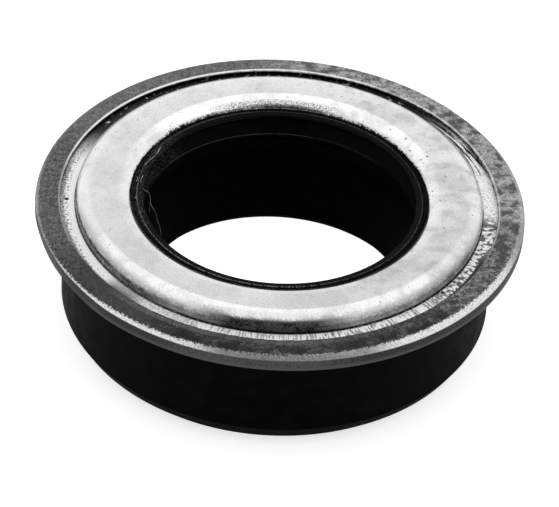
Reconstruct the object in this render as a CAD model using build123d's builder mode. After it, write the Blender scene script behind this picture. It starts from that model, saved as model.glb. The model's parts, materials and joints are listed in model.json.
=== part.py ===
from build123d import *
import os
from math import cos, radians, tan

# Flanged oil seal, in millimetres. The origin is the centre of the base, which is the oil side, and +Z
# points to the air side. Every piece is turned about Z from a section drawn in the XZ plane, where the
# first number of a point is its radius and the second is its height above the base.

# What the seal fits
housing_diameter = 62.0
shaft_diameter = 40.0
seat_depth = 17.5  # from the base to the flange's underside, which stops on the housing

# Outer case: a wall inside the rubber, a flange, and a fold that holds the cover ring's brim
case_sheet = 0.9
wall_foot = 2.8  # height of the wall's lower end
flange_overhang = 3.85  # how far the flange stands out past the rubber sleeve
fold_length = 3.75  # from the rim to the fold's free edge
fold_corner = 0.15  # inside the fold
rim_edge = 0.3
rim_slope_width = 0.75  # the rim's top slopes down where the press closed the fold
rim_slope_drop = 0.75
rim_slope_bend = 0.8
cut_edge = 0.3  # radius of the sheet's cut edges

# Cover ring: a brim, an arched crown, and an inner edge turned down into the bore
cover_sheet = 0.8
brim_clearance = 0.4  # from the brim's edge to the inside of the fold
band_width = 2.05  # brim seen between the fold's free edge and the crease
crease_bend = 0.3
crown_rise = 2.45  # from the brim to the top of the crown
shoulder_width = 1.15  # radial, on both sides of the crown
shoulder_slope = 48  # degrees from level
shoulder_foot_bend = 0.1  # inside the sheet
crown_bend = 2.9
edge_depth = 2.15  # from the crown's top to the end of the turned edge
cover_clearance = 1.2  # from the shaft to the cover ring

# Rubber sleeve and web
sleeve_interference = 0.15  # radial, before the seal is pressed into its housing
sleeve_wall = 0.95  # outside the case's wall
lining_wall = 1.5  # inside the case's wall
lead_in_height = 3.35
lead_in_width = 1.15
foot_chamfer = 1.35
web_thickness = 5.6
web_corner = 1.0
bend_cover = 0.75  # rubber over the case's bend, from the sleeve's outside inwards
mould_edge = 0.2  # radius of small moulded edges

# Rubber collar, with the lip and the rib that keep dirt out
collar_wall = 1.4
collar_drop = 1.05  # from the crown's top to where the rubber meets the cover ring
dust_interference = 0.4  # radial, before the shaft is pushed in
dust_land = 0.25
dust_nose = 0.1
dust_lip_drop = 1.35  # from the crown's top to the lip
crest_width = 0.9  # from the lip's nose to its crest
crest_rise = 0.1
gutter_depth = 0.4  # below the crest, round the back of the lip
gutter_gap = 0.25  # from the cover ring to the gutter's bottom
rib_drop = 3.6  # from the lip to the rib's middle
rib_land = 0.4
rib_slope = 1.6  # height of the rib's flanks
lip_groove = 0.9  # radial gap between the shaft and the rubber beside the rib

# Main lip, which the spring presses on the shaft
lip_interference = 0.8
lip_height = 2.3  # from the base to the middle of the land
lip_land = 0.6
toe_height = 0.5
toe_gap = 0.55  # from the shaft to the toe
bead_height = 1.35
bead_slope = 1.0
flex_gap = 1.7  # from the shaft to the root of the flexible section
flex_thickness = 1.9

# Garter spring: a closed coil, drawn as the ring that its turns fill
spring_coil = 2.0  # outer diameter of the coil
spring_gap = 2.5  # from the shaft to the coil's centre line
spring_height = 3.0
spring_clearance = 0.05
bead_reach = 0.8  # how far the beads beside the groove reach past the coil's centre line

# Radii and heights of the case
shaft_radius = shaft_diameter / 2
sleeve_radius = housing_diameter / 2 + sleeve_interference
wall_outside = sleeve_radius - sleeve_wall
wall_inside = wall_outside - case_sheet
wall_bend = sleeve_wall  # the flange's underside is flat from the sleeve outwards
flange_radius = sleeve_radius + flange_overhang
brim_underside = seat_depth + case_sheet
brim_top = brim_underside + cover_sheet
fold_top = brim_top + case_sheet
fold_edge = flange_radius - fold_length
fold_inside = flange_radius - case_sheet

# Radii and heights of the cover ring
overall_height = brim_top + crown_rise
shoulder_height = overall_height - shoulder_width * tan(radians(shoulder_slope))
brim_edge = fold_inside - brim_clearance
crease_radius = fold_edge - band_width
cover_bore = shaft_radius + cover_clearance
crown_width = crease_radius - cover_bore - 2 * shoulder_width
slope_length = shoulder_width / cos(radians(shoulder_slope))
foot_round = shoulder_foot_bend + cover_sheet
foot_reach = foot_round * tan(radians(45 - shoulder_slope / 2))
crown_reach = min(0.96 * (slope_length - foot_reach), 0.49 * crown_width)
crown_round = min(crown_bend, crown_reach / tan(radians(shoulder_slope / 2)))

# Radii and heights of the rubber
lining_radius = wall_inside - lining_wall
web_underside = brim_underside - web_thickness
collar_back = cover_bore + collar_wall
collar_top = overall_height - collar_drop
dust_radius = shaft_radius - dust_interference
dust_top = overall_height - dust_lip_drop
crest_radius = dust_radius + crest_width
crest_top = dust_top + crest_rise
gutter_radius = cover_bore - gutter_gap
rib_top = dust_top - rib_drop + rib_land / 2
rib_bottom = rib_top - rib_land
groove_radius = shaft_radius + lip_groove
lip_radius = shaft_radius - lip_interference
toe_radius = shaft_radius + toe_gap
spring_radius = shaft_radius + spring_gap
bead_radius = spring_radius + bead_reach
bead_top = 2 * spring_height - bead_height
flex_root = shaft_radius + flex_gap
flex_foot = lip_radius + (flex_root - lip_radius) * (bead_top + bead_slope) / web_underside

# An outline is a list of corners, each a point and the radius that rounds it.
case_outline = [
    ((wall_inside, wall_foot), cut_edge),
    ((wall_outside, wall_foot), cut_edge),
    ((wall_outside, seat_depth), wall_bend),
    ((flange_radius, seat_depth), rim_edge),
    ((flange_radius, fold_top - rim_slope_drop), rim_edge),
    ((flange_radius - rim_slope_width, fold_top), rim_slope_bend),
    ((fold_edge, fold_top), cut_edge),
    ((fold_edge, brim_top), cut_edge),
    ((fold_inside, brim_top), fold_corner),
    ((fold_inside, brim_underside), fold_corner),
    ((wall_inside, brim_underside), wall_bend + case_sheet),
]
cover_top = [
    ((brim_edge, brim_top), None),
    ((crease_radius, brim_top), crease_bend),
    ((crease_radius, shoulder_height), foot_round),
    ((crease_radius - shoulder_width, overall_height), crown_round),
    ((cover_bore + shoulder_width, overall_height), crown_round),
    ((cover_bore, shoulder_height), foot_round),
    ((cover_bore, overall_height - edge_depth), None),
]
# Where the rubber meets a pressing, its outline runs on inside the sheet. The two sections are then cut
# out of it, so that rubber and steel share their faces.
sleeve_outline = [
    ((sleeve_radius - lead_in_width - foot_chamfer, 0), mould_edge),
    ((sleeve_radius - lead_in_width, foot_chamfer), mould_edge),
    ((sleeve_radius, lead_in_height), mould_edge),
    ((sleeve_radius, seat_depth + case_sheet / 2), 0),
    ((sleeve_radius - bend_cover, seat_depth + case_sheet / 2), 0),
    ((sleeve_radius - bend_cover, brim_underside), 0),
]
collar_outline = [
    ((collar_back, brim_underside), mould_edge),
    ((collar_back, collar_top), 0),
    ((cover_bore + cover_sheet / 2, collar_top), 0),
    ((gutter_radius, crest_top - gutter_depth), mould_edge),
    ((crest_radius, crest_top), dust_nose),
    ((dust_radius, dust_top), dust_nose),
    ((dust_radius, dust_top - dust_land), dust_nose),
    ((groove_radius, dust_top - rib_slope), mould_edge),
    ((groove_radius, rib_top + rib_slope), mould_edge),
    ((dust_radius, rib_top), dust_nose),
    ((dust_radius, rib_bottom), dust_nose),
    ((groove_radius, rib_bottom - rib_slope), mould_edge),
]
lip_outline = [
    ((flex_root, web_underside), mould_edge),
    ((lip_radius, lip_height + lip_land / 2), 0),
    ((lip_radius, lip_height - lip_land / 2), 0),
    ((toe_radius, toe_height), mould_edge),
    ((spring_radius, toe_height), mould_edge),
    ((bead_radius, bead_height), mould_edge),
    ((bead_radius, bead_top), mould_edge),
    ((flex_foot + flex_thickness, bead_top + bead_slope), web_corner),
    ((flex_root + flex_thickness, web_underside), web_corner),
    ((lining_radius, web_underside), web_corner),
    ((lining_radius, 0), mould_edge),
]
rubber_outline = sleeve_outline + collar_outline + lip_outline

with BuildPart() as outer_case:
    with BuildSketch(Plane.XZ) as case_section:
        with BuildLine():
            FilletPolyline(
                [point for point, corner in case_outline],
                radius=[corner for point, corner in case_outline],
                close=True,
            )
        make_face()
    revolve(axis=Axis.Z)

with BuildPart() as cover_ring:
    with BuildSketch(Plane.XZ) as cover_section:
        with BuildLine():
            FilletPolyline(
                [point for point, corner in cover_top],
                radius=[corner for point, corner in cover_top if corner is not None],
            )
            offset(amount=cover_sheet, kind=Kind.INTERSECTION, side=Side.LEFT)
        make_face()
    revolve(axis=Axis.Z)

with BuildPart() as seal_body:
    with BuildSketch(Plane.XZ) as rubber_section:
        with BuildLine():
            FilletPolyline(
                [point for point, corner in rubber_outline],
                radius=[corner for point, corner in rubber_outline],
                close=True,
            )
        make_face()
        with Locations((spring_radius, spring_height)):
            Circle(spring_coil / 2 + spring_clearance, mode=Mode.SUBTRACT)
        add(case_section.sketch, mode=Mode.SUBTRACT)
        add(cover_section.sketch, mode=Mode.SUBTRACT)
    revolve(axis=Axis.Z)

with BuildPart() as garter_spring:
    with BuildSketch(Plane.XZ):
        with Locations((spring_radius, spring_height)):
            Circle(spring_coil / 2)
    revolve(axis=Axis.Z)

outer_case.part.label = "outer_case"
cover_ring.part.label = "cover_ring"
seal_body.part.label = "seal_body"
garter_spring.part.label = "garter_spring"

os.makedirs("parts", exist_ok=True)
for piece in (outer_case, cover_ring, seal_body, garter_spring):
    export_step(piece.part, f"parts/{piece.part.label}.step")
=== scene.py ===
"""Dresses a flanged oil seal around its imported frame, and sets up the studio that shows it.

Lengths are in metres and the seal's axis is Z, with its base at zero and the air side up. Bearings are
degrees about that axis, anticlockwise from +X as seen from above, so the viewer stands at 270.
"""
import json
import logging
import math
from contextlib import contextmanager
from dataclasses import dataclass
from enum import Enum
from typing import Callable, Iterator

import bpy
from bpy.types import Material, Modifier, Node, NodeSocket, NodeTree, Object
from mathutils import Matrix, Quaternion, Vector


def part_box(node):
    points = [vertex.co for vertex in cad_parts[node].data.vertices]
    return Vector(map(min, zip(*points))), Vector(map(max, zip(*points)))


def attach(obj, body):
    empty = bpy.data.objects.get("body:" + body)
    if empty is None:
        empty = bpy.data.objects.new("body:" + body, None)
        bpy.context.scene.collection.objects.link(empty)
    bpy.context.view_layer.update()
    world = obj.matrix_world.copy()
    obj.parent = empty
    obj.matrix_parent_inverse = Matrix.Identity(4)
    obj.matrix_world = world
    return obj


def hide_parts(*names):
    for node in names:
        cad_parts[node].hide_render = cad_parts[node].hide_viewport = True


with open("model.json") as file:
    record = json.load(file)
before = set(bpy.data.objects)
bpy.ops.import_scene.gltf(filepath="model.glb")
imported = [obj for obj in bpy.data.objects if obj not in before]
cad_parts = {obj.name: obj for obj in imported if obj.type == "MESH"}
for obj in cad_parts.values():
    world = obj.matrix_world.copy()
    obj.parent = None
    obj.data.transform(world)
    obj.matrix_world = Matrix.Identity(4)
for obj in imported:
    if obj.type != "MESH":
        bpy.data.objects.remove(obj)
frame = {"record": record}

LOG = logging.getLogger("oil_seal")
MM = 0.001
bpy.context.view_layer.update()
SMOOTH_ANGLE = math.radians(32)  # an edge that bends further stays sharp
DRAWN_RADIUS = 30 * MM  # a drawn pattern has its stated size here


class Grain(Enum):
    """Sizes of the patterns that age a surface, in metres."""

    DUST = 0.13 * MM
    FINE = 0.3 * MM
    SPECK = 0.8 * MM
    PATCH = 2.2 * MM
    CLOUD = 7.0 * MM


@dataclass(frozen=True)
class Pattern:
    """Noise whose features are as large as its grain."""

    grain: Grain
    detail: float = 3.0
    roughness: float = 0.55


@dataclass(frozen=True)
class Stretch:
    """A stretch of the circle."""

    centre: float  # bearing of its middle
    half: float  # half its width, in degrees
    soft: float  # width of its soft ends, in degrees
    weight: float = 1.0  # how much it counts


@dataclass(frozen=True)
class SealSizes:
    """Radii and heights that several pieces share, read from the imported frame."""

    flange_radius: float
    wall_foot: float
    fold_top: float
    brim_edge: float
    brim_underside: float
    overall_height: float
    sleeve_radius: float
    spring_outside: float
    spring_foot: float
    spring_top: float
    lip_radius: float
    seat_height: float

    @classmethod
    def from_frame(cls) -> "SealSizes":
        """Reads the boxes of the nodes and the places of the mounts.

        Returns:
            The sizes that the pieces are built from.
        """
        case_low, case_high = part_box("outer_case")
        cover_low, cover_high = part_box("cover_ring")
        spring_low, spring_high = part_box("garter_spring")
        mounts = {mount["name"]: mount for mount in frame["record"]["mounts"]}
        return cls(
            flange_radius=case_high.x,
            wall_foot=case_low.z,
            fold_top=case_high.z,
            brim_edge=cover_high.x,
            brim_underside=cover_low.z,
            overall_height=cover_high.z,
            sleeve_radius=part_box("seal_body")[1].x,
            spring_outside=spring_high.x,
            spring_foot=spring_low.z,
            spring_top=spring_high.z,
            lip_radius=mounts["shaft_bore"]["dims"]["r_mm"] * MM,
            seat_height=mounts["flange_stop"]["pos_m"][2],
        )


@dataclass(frozen=True)
class Corner:
    """A corner of a turned section."""

    radius: float  # distance from the axis
    height: float  # height above the base
    bend: float = 0.0  # radius that rounds the corner
    cuts: int = 4  # number of segments in the rounding

    @property
    def point(self) -> Vector:
        """The corner in the XZ plane."""
        return Vector((self.radius, 0.0, self.height))


@contextmanager
def editing() -> Iterator[None]:
    """Edit mode, for as long as the block runs."""
    bpy.ops.object.mode_set(mode="EDIT")
    yield
    bpy.ops.object.mode_set(mode="OBJECT")


def leave_nothing_selected() -> None:
    """Deselects every object, so that an operator acts on the new piece alone."""
    bpy.ops.object.select_all(action="DESELECT")


def take_up(piece: Object) -> None:
    """Makes a piece the only one that is selected, and the active one."""
    leave_nothing_selected()
    piece.select_set(True)
    bpy.context.view_layer.objects.active = piece


def select_vertices(piece: Object, chosen: Callable[[Vector], bool]) -> None:
    """Selects a piece's vertices by their place. The piece is in object mode.

    Args:
        piece: The mesh object.
        chosen: Says of a place whether its vertex is wanted.
    """
    mesh = piece.data
    for part in (mesh.polygons, mesh.edges, mesh.vertices):
        part.foreach_set("select", [False] * len(part))
    for vertex in mesh.vertices:
        vertex.select = chosen(vertex.co)


def apply_modifier(piece: Object, modifier: Modifier) -> None:
    """Applies a modifier to a piece."""
    take_up(piece)
    bpy.ops.object.modifier_apply(modifier=modifier.name)


def draw_wire(name: str, points: list[Vector]) -> Object:
    """Extrudes one vertex from point to point.

    Args:
        name: Name of the piece.
        points: The points, in order.

    Returns:
        The wire, as a mesh object in object mode.
    """
    leave_nothing_selected()
    bpy.ops.mesh.primitive_plane_add(size=MM)
    piece = bpy.context.object
    piece.name = name
    piece.data.name = name
    with editing():
        bpy.ops.mesh.select_mode(type="VERT")
        bpy.ops.mesh.select_all(action="SELECT")
        bpy.ops.mesh.merge(type="CENTER")
        bpy.ops.transform.translate(value=points[0])
        for start, end in zip(points, points[1:]):
            bpy.ops.mesh.extrude_region_move(TRANSFORM_OT_translate={"value": end - start})
    return piece


def ramp(value: float, start: float, end: float) -> float:
    """A smooth step from 0 at the start to 1 at the end."""
    share = min(max((value - start) / (end - start), 0.0), 1.0)
    return share * share * (3 - 2 * share)


def arc_weight(place: Vector, stretch: Stretch) -> float:
    """How far a place lies in a stretch of the circle: its weight inside, and 0 past its soft ends."""
    bearing = math.degrees(math.atan2(place.y, place.x))
    away = abs((bearing - stretch.centre + 180) % 360 - 180)
    return stretch.weight * (1 - ramp(away, stretch.half, stretch.half + stretch.soft))


def shift_softly(piece: Object, name: str, weigh: Callable[[Vector], float], move: Vector) -> None:
    """Moves part of a piece, as a knock or a press would.

    Args:
        piece: The mesh object.
        name: Name of the vertex group that holds the weights.
        weigh: Says of a place how much of the move its vertex makes.
        move: The whole move.
    """
    group = piece.vertex_groups.new(name=name)
    for vertex in piece.data.vertices:
        weight = weigh(vertex.co)
        if weight > 0:
            group.add([vertex.index], weight, "REPLACE")
    for axis, length in zip("XYZ", move):
        if length:
            shift = piece.modifiers.new(f"{name}_{axis}", "DISPLACE")
            shift.direction = axis
            shift.mid_level = 0
            shift.strength = length
            shift.vertex_group = name
            apply_modifier(piece, shift)


class TurnedSection:
    """A section drawn in the XZ plane corner by corner, as on a lathe drawing, and spun about the axis."""

    SPACING = 1e-6

    def __init__(self, name: str, corners: list[Corner], closed: bool = True) -> None:
        """Stores the section.

        Args:
            name: Name of the piece.
            corners: The corners, in order.
            closed: Whether the last corner joins the first.
        """
        self.name = name
        self.corners = corners
        self.closed = closed

    def turn(self, steps: int) -> Object:
        """Draws, rounds and spins the section.

        Args:
            steps: Number of steps in the full turn.

        Returns:
            The turned mesh object, smooth and with its faces outwards.
        """
        piece = draw_wire(self.name, [corner.point for corner in self.corners])
        if self.closed:
            ends = (self.corners[0].point, self.corners[-1].point)
            select_vertices(piece, lambda place: min((place - end).length for end in ends) < self.SPACING)
            with editing():
                bpy.ops.mesh.edge_face_add()
        self._round(piece)
        with editing():
            bpy.ops.mesh.select_all(action="SELECT")
            bpy.ops.mesh.spin(steps=steps, angle=math.tau, center=(0, 0, 0), axis=(0, 0, 1), use_auto_merge=True)
            bpy.ops.mesh.select_all(action="SELECT")
            bpy.ops.mesh.remove_doubles(threshold=self.SPACING)
            bpy.ops.mesh.normals_make_consistent(inside=False)
        return piece

    def _round(self, piece: Object) -> None:
        """Bevels each corner that has a bend, so that both sides run tangent into its arc."""
        count = len(self.corners)
        for index, corner in enumerate(self.corners):
            if corner.bend == 0.0:
                continue
            before = self.corners[index - 1].point - corner.point
            after = self.corners[(index + 1) % count].point - corner.point
            turn = math.pi - before.angle(after)
            select_vertices(piece, lambda place: (place - corner.point).length < self.SPACING)
            with editing():
                bpy.ops.mesh.bevel(
                    offset=corner.bend * math.tan(turn / 2),
                    offset_type="ABSOLUTE",
                    segments=corner.cuts,
                    affect="VERTICES",
                )


class Nodes:
    """Short ways to add and join the nodes of one tree."""

    def __init__(self, tree: NodeTree) -> None:
        """Takes the tree."""
        self.tree = tree

    def add(self, kind: str, inputs: dict | None = None, **settings: object) -> Node:
        """Adds a node.

        Args:
            kind: Blender's name of the node type.
            inputs: Values or sockets for the node's inputs, by name or number.
            settings: The node's own properties.

        Returns:
            The node.
        """
        node = self.tree.nodes.new(kind)
        for name, value in settings.items():
            setattr(node, name, value)
        for name, value in (inputs or {}).items():
            self.feed(node.inputs[name], value)
        return node

    def feed(self, target: NodeSocket, value: object) -> None:
        """Links a socket to an input, or sets the input's own value."""
        if isinstance(value, NodeSocket):
            self.tree.links.new(value, target)
        else:
            target.default_value = value

    def vector(self, operation: str, first: object, second: object = (0, 0, 0)) -> Node:
        """Adds a vector operation."""
        return self.add("ShaderNodeVectorMath", {0: first, 1: second}, operation=operation)

    def math(self, operation: str, first: object, second: object = 0.0) -> NodeSocket:
        """Adds an operation on one or two numbers, and returns its result."""
        return self.add("ShaderNodeMath", {0: first, 1: second}, operation=operation).outputs[0]

    def step(
        self, value: object, start: float, end: float, low: float = 0.0, high: float = 1.0
    ) -> NodeSocket:
        """Adds a smooth step.

        Args:
            value: The number that is tested.
            start: Where the step begins, above or below its end.
            end: Where it ends.
            low: The result before the step.
            high: The result after it.

        Returns:
            The socket with the result.
        """
        node = self.add("ShaderNodeMapRange", {"Value": value}, interpolation_type="SMOOTHSTEP")
        bounds = (end, start, high, low) if start > end else (start, end, low, high)
        for name, bound in zip(("From Min", "From Max", "To Min", "To Max"), bounds):
            node.inputs[name].default_value = bound
        return node.outputs["Result"]

    def mix(self, factor: object, first: object, second: object) -> NodeSocket:
        """Mixes two numbers, and returns the result."""
        return self.add("ShaderNodeMix", {0: factor, 2: first, 3: second}, data_type="FLOAT").outputs[0]

    def cone(self, direction: object, aim: Vector, inner: float, outer: float) -> NodeSocket:
        """A mask for the directions round an aim: 1 within the inner angle and 0 past the outer, in degrees."""
        dot = self.vector("DOT_PRODUCT", direction, aim).outputs["Value"]
        return self.step(dot, math.cos(math.radians(outer)), math.cos(math.radians(inner)))


class Coat(Nodes):
    """One finish: patterns on Object coordinates, and a tone that is built up layer by layer."""

    def __init__(
        self,
        name: str,
        tone: float,
        patches: Pattern = Pattern(Grain.PATCH),
        grain: Pattern = Pattern(Grain.FINE),
        dust: Pattern = Pattern(Grain.DUST),
    ) -> None:
        """Starts a material with its shader, its coordinates and its patterns.

        Args:
            name: Name of the material.
            tone: Its first tone.
            patches: Its coarse pattern.
            grain: Its fine pattern.
            dust: Its finest pattern.
        """
        self.material = bpy.data.materials.new(name)
        self.material.use_nodes = True
        super().__init__(self.material.node_tree)
        self.shader = self.tree.nodes["Principled BSDF"]
        self.tone: object = tone
        self.place = self.add("ShaderNodeTexCoord").outputs["Object"]
        self.height = self.add("ShaderNodeSeparateXYZ", {"Vector": self.place}).outputs["Z"]
        self.plan = self.vector("MULTIPLY", self.place, (1, 1, 0)).outputs["Vector"]
        self.radius = self.vector("LENGTH", self.plan).outputs["Value"]
        self.bearing = self.vector("NORMALIZE", self.plan).outputs["Vector"]
        self.patches = self.noise(patches)
        self.grain = self.noise(grain)
        self.dust = self.noise(dust)

    def all_of(self, *masks: object) -> object:
        """The product of several masks."""
        result = masks[0]
        for mask in masks[1:]:
            result = self.math("MULTIPLY", result, mask)
        return result

    def any_of(self, *masks: object) -> object:
        """The strongest of several masks."""
        result = masks[0]
        for mask in masks[1:]:
            result = self.math("MAXIMUM", result, mask)
        return result

    def lay(self, tone: object, *masks: object) -> None:
        """Lays a tone over the surface where all the masks are."""
        self.tone = self.mix(self.all_of(*masks), self.tone, tone)

    def shade(self, pattern: object, low: float, high: float) -> None:
        """Multiplies the tone by low where the pattern is 0 and by high where it is 1."""
        self.tone = self.math("MULTIPLY", self.tone, self.mix(pattern, low, high))

    def beyond(self, radius: float, soft: float) -> NodeSocket:
        """A mask that grows from 0 at a radius to 1 outside it, or inside it where the soft width is negative."""
        return self.step(self.radius, radius, radius + soft)

    def above(self, height: float, soft: float) -> NodeSocket:
        """A mask that grows from 0 at a height to 1 above it, or below it where the soft width is negative."""
        return self.step(self.height, height, height + soft)

    def between(self, value: object, low: float, high: float, soft: float) -> NodeSocket:
        """A mask that is 1 from one value to another, with soft edges outside them."""
        return self.all_of(self.step(value, low - soft, low), self.step(value, high + soft, high))

    def ring(self, low: float, high: float, soft: float) -> NodeSocket:
        """A mask between two radii."""
        return self.between(self.radius, low, high, soft)

    def level(self, low: float, high: float, soft: float) -> NodeSocket:
        """A mask between two heights."""
        return self.between(self.height, low, high, soft)

    def arc(self, *stretches: Stretch) -> NodeSocket:
        """A mask for one or more stretches of the circle, each as strong as its weight."""
        masks = []
        for stretch in stretches:
            turn = math.radians(stretch.centre)
            aim = Vector((math.cos(turn), math.sin(turn), 0))
            mask = self.cone(self.bearing, aim, stretch.half, stretch.half + stretch.soft)
            masks.append(mask if stretch.weight == 1.0 else self.all_of(mask, stretch.weight))
        return self.any_of(*masks)

    def noise(self, pattern: Pattern) -> NodeSocket:
        """Even noise in a given pattern."""
        inputs = {
            "Vector": self.place,
            "Scale": 1 / pattern.grain.value,
            "Detail": pattern.detail,
            "Roughness": pattern.roughness,
        }
        return self.add("ShaderNodeTexNoise", inputs).outputs["Fac"]

    def blend(self, first: object, second: object, share: float = 0.5) -> NodeSocket:
        """Adds two patterns, the first with its share and the second with the rest."""
        return self.math("ADD", self.all_of(first, share), self.all_of(second, 1 - share))

    def ragged(self, pattern: object, width: float) -> NodeSocket:
        """A pattern as a length on both sides of zero, which makes a border ragged."""
        return self.all_of(self.math("SUBTRACT", pattern, 0.5), width)

    def drawn(self, along: float, across: float) -> NodeSocket:
        """Coordinates that stretch a pattern in the turning direction or across it.

        Args:
            along: Size of a feature in the turning direction, near the crease.
            across: Size of a feature along the section.

        Returns:
            The socket with the coordinates.
        """
        spread = self.vector("SCALE", self.bearing)
        spread.inputs["Scale"].default_value = DRAWN_RADIUS / along
        depth = self.math("DIVIDE", self.math("ADD", self.radius, self.height), across)
        lift = self.add("ShaderNodeCombineXYZ", {"Z": depth}).outputs[0]
        return self.vector("ADD", spread.outputs["Vector"], lift).outputs["Vector"]

    def drawn_noise(self, along: float, across: float, detail: float = 2.0) -> NodeSocket:
        """Noise that is stretched in the turning direction or across it."""
        inputs = {"Vector": self.drawn(along, across), "Scale": 1.0, "Detail": detail}
        return self.add("ShaderNodeTexNoise", inputs).outputs["Fac"]

    def cells(self, along: float, across: float) -> NodeSocket:
        """The distance to the middle of uneven cells."""
        wander = self.add("ShaderNodeTexNoise", {"Vector": self.drawn(along, across), "Scale": 1.3})
        place = self.vector("ADD", self.drawn(along, across), wander.outputs["Color"]).outputs["Vector"]
        return self.add("ShaderNodeTexVoronoi", {"Vector": place, "Scale": 1.0}).outputs["Distance"]

    def spot(self, bearing: float, radius: float, size: float) -> NodeSocket:
        """A mask for one round spot, seen from above."""
        turn = math.radians(bearing)
        centre = (radius * math.cos(turn), radius * math.sin(turn), 0)
        away = self.vector("DISTANCE", self.plan, centre).outputs["Value"]
        return self.step(away, size * 1.15, size * 0.75)

    def finish(self, roughness: object, metal: object, gloss: float, relief: object, depth: float) -> Material:
        """Feeds the shader.

        Args:
            roughness: Roughness of the surface.
            metal: 1 for bare metal and 0 for anything else.
            gloss: Specular level of a surface that isn't metal.
            relief: Height pattern of the surface.
            depth: Depth of the relief.

        Returns:
            The finished material.
        """
        self.feed(self.shader.inputs["Base Color"], self.tone)
        self.feed(self.shader.inputs["Roughness"], roughness)
        self.feed(self.shader.inputs["Metallic"], metal)
        self.shader.inputs["Specular IOR Level"].default_value = gloss
        bump = self.add("ShaderNodeBump", {"Height": relief, "Distance": depth, "Strength": 0.5})
        self.feed(self.shader.inputs["Normal"], bump.outputs["Normal"])
        return self.material


@dataclass(frozen=True)
class CaseLines:
    """The lines of the case that its wear, its painted shade and its painted reflection follow."""

    rim_inner: float  # radius where the rim's slope begins
    rim_foot: float  # height where the rim's side meets its slope
    fold_edge: float  # radius of the fold's free edge
    fold_under: float  # height of the fold's underside


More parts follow.
